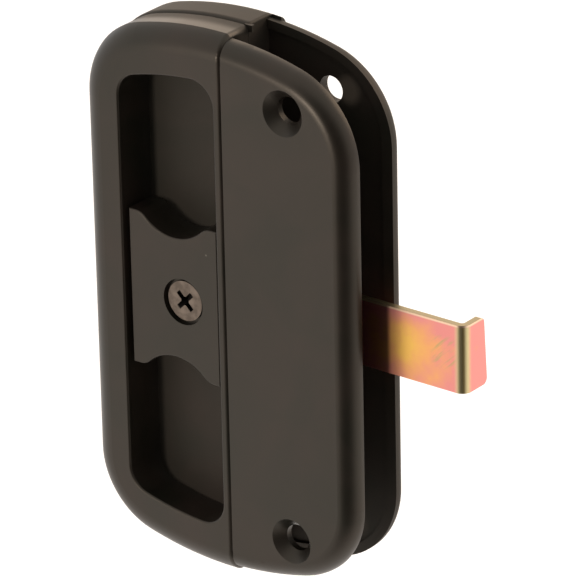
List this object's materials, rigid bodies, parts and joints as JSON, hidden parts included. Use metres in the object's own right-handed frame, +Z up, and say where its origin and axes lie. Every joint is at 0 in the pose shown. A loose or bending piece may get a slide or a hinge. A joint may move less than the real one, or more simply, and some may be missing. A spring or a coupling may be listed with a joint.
{
  "type": "screen door latch",
  "caption": "Screen door latch that clasps the door stile, with moulded finger-pull housings, a thumb slide in each pocket and a bent steel hook moved by them.",
  "frame": {"origin": "midway between the two mounting holes, on the plane of the stile's outside face", "axes": "+X from the grip towards the door's edge and the hook, +Y from the outside face to the inside face through the door, +Z up along the stile"},
  "size_m": [0.0898, 0.0189, 0.1212],
  "materials": {
    "black_plastic": "fine matt grain as moulded",
    "screw_steel": "dark plated",
    "yellow_zinc_steel": "yellow zinc plating with pink and green tints"
  },
  "bodies": {
    "housing": {"outside_housing": "black_plastic", "inside_housing": "black_plastic"},
    "latch": {"outside_slide": "black_plastic", "inside_slide": "black_plastic", "slide_screw": "screw_steel", "latch_hook": "yellow_zinc_steel"}
  },
  "joints": [
    {"name": "latch_slide", "type": "slide", "parent": "housing", "child": "latch", "axis": [0, 0, 1], "range_m": [-0.006, 0.006]}
  ]
}
